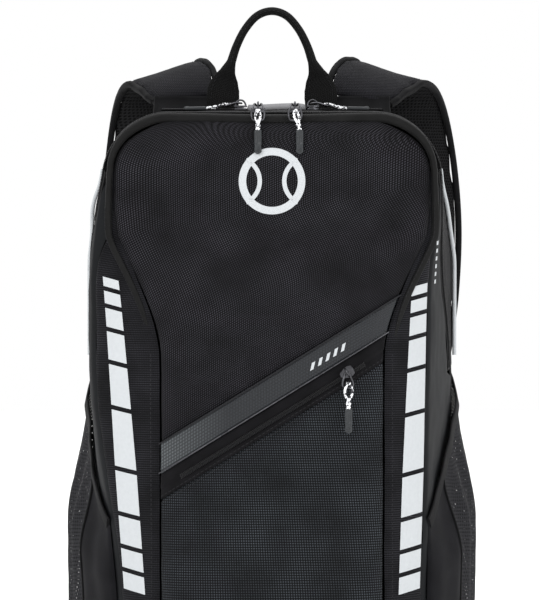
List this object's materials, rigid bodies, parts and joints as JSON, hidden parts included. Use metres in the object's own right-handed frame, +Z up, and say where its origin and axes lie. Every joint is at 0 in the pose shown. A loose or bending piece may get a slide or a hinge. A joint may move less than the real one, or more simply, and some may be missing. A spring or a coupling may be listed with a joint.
{
  "type": "racket backpack",
  "caption": "Soft black racket backpack with padded shoulder straps, haul handle, diagonal front pocket, rear racket compartment and mesh side pockets.",
  "frame": {"origin": "middle of the base panel's underside", "axes": "+Z up, -Y the front face, +X to the right of someone facing the front"},
  "size_m": [0.3396, 0.3218, 0.5819],
  "materials": {
    "weave": "micro grid weave, matte",
    "ribbed": "cross ribbed weave, matte",
    "coated": "smooth coated cloth, satin",
    "plain_black": "plain woven, matte",
    "gloss_band": "embossed film, glossy",
    "mesh": "stretch or spacer mesh, matte",
    "webbing": "ribbed webbing, matte",
    "white": "smooth piping, satin",
    "zip_metal": "gunmetal, satin",
    "cord": "flecked braided cord",
    "tab": "moulded rubber, satin",
    "plastic": "moulded, satin"
  },
  "bodies": {
    "bag": {"back_pad_left": "mesh", "back_pad_right": "mesh", "back_panel": "plain_black", "base_panel": "plain_black", "diagonal_band": "gloss_band", "divider": "plain_black", "facet_left": "ribbed", "facet_right": "ribbed", "front_panel": "weave", "front_piping": "plain_black", "main_zip_chain": "plastic", "pocket_back_wall": "plain_black", "pocket_panel": "weave", "pocket_zip_chain": "plastic", "pocket_zip_tape": "plain_black", "racket_gusset_left": "plain_black", "racket_gusset_right": "plain_black", "racket_gusset_top": "plain_black", "racket_zip_chain_left": "plastic", "racket_zip_chain_right": "plastic", "rear_gusset_left": "plain_black", "rear_gusset_right": "plain_black", "side_panel_left": "coated", "side_panel_right": "coated", "side_pocket_left": "mesh", "side_pocket_right": "mesh", "strap_wing_left": "plain_black", "strap_wing_right": "plain_black", "strap_yoke_left": "plain_black", "strap_yoke_right": "plain_black", "top_gusset": "plain_black", "white_piping_left": "white", "white_piping_right": "white"},
    "handle": {"haul_handle": "webbing"},
    "strap_left": {"shoulder_strap_left": "plain_black", "ladder_lock_left": "plastic", "lower_webbing_left": "webbing"},
    "main_slider_left": {"main_slider_left": "zip_metal"},
    "main_pull_left": {"main_pull_left_bail": "zip_metal", "main_pull_left_cord": "cord", "main_pull_left_tab": "tab"},
    "racket_slider_left": {"racket_slider_left": "zip_metal"},
    "racket_pull_left": {"racket_pull_left_bail": "zip_metal", "racket_pull_left_cord": "cord", "racket_pull_left_tab": "tab"},
    "strap_right": {"shoulder_strap_right": "plain_black", "ladder_lock_right": "plastic", "lower_webbing_right": "webbing"},
    "main_slider_right": {"main_slider_right": "zip_metal"},
    "main_pull_right": {"main_pull_right_bail": "zip_metal", "main_pull_right_cord": "cord", "main_pull_right_tab": "tab"},
    "racket_slider_right": {"racket_slider_right": "zip_metal"},
    "racket_pull_right": {"racket_pull_right_bail": "zip_metal", "racket_pull_right_cord": "cord", "racket_pull_right_tab": "tab"},
    "pocket_slider": {"pocket_slider": "zip_metal"},
    "pocket_pull": {"pocket_pull_bail": "zip_metal", "pocket_pull_cord": "cord", "pocket_pull_tab": "tab"}
  },
  "joints": [
    {"name": "main_zip_left", "type": "slide", "parent": "bag", "child": "main_slider_left", "axis": [-1, 0, 0], "range_m": [0, 0.069]},
    {"name": "main_pull_left_hinge", "type": "hinge", "parent": "main_slider_left", "child": "main_pull_left", "pos_m": [-0.0112, -0.05729, 0.48802], "axis": [-1, 0, 0], "range_deg": [0, 150]},
    {"name": "racket_zip_left", "type": "slide", "parent": "bag", "child": "racket_slider_left", "axis": [-1, 0, 0], "range_m": [0, 0.055]},
    {"name": "racket_pull_left_hinge", "type": "hinge", "parent": "racket_slider_left", "child": "racket_pull_left", "pos_m": [-0.0265, 0.06306, 0.49836], "axis": [0, 1, 0], "range_deg": [0, 120]},
    {"name": "main_zip_right", "type": "slide", "parent": "bag", "child": "main_slider_right", "axis": [1, 0, 0], "range_m": [0, 0.062]},
    {"name": "main_pull_right_hinge", "type": "hinge", "parent": "main_slider_right", "child": "main_pull_right", "pos_m": [0.0184, -0.05729, 0.48802], "axis": [-1, 0, 0], "range_deg": [0, 150]},
    {"name": "racket_zip_right", "type": "slide", "parent": "bag", "child": "racket_slider_right", "axis": [1, 0, 0], "range_m": [0, 0.047]},
    {"name": "racket_pull_right_hinge", "type": "hinge", "parent": "racket_slider_right", "child": "racket_pull_right", "pos_m": [0.0345, 0.06306, 0.49836], "axis": [0, -1, 0], "range_deg": [0, 120]},
    {"name": "pocket_zip", "type": "slide", "parent": "bag", "child": "pocket_slider", "axis": [-0.8537, 0, -0.5208], "range_m": [0, 0.139]},
    {"name": "pocket_pull_hinge", "type": "hinge", "parent": "pocket_slider", "child": "pocket_pull", "pos_m": [0.059, -0.1061, 0.27499], "axis": [-0.8537, 0, -0.5208], "range_deg": [0, 120]},
    {"name": "handle_fold", "type": "hinge", "parent": "bag", "child": "handle", "pos_m": [0, 0.085, 0.494], "axis": [1, 0, 0], "range_deg": [-20, 60]},
    {"name": "strap_swing_left", "type": "hinge", "parent": "bag", "child": "strap_left", "pos_m": [-0.119, 0.108, 0.042], "axis": [0.0995, 0.0011, 0.995], "range_deg": [-10, 30]},
    {"name": "strap_swing_right", "type": "hinge", "parent": "bag", "child": "strap_right", "pos_m": [0.119, 0.108, 0.042], "axis": [0.0995, -0.0011, -0.995], "range_deg": [-10, 30]}
  ]
}
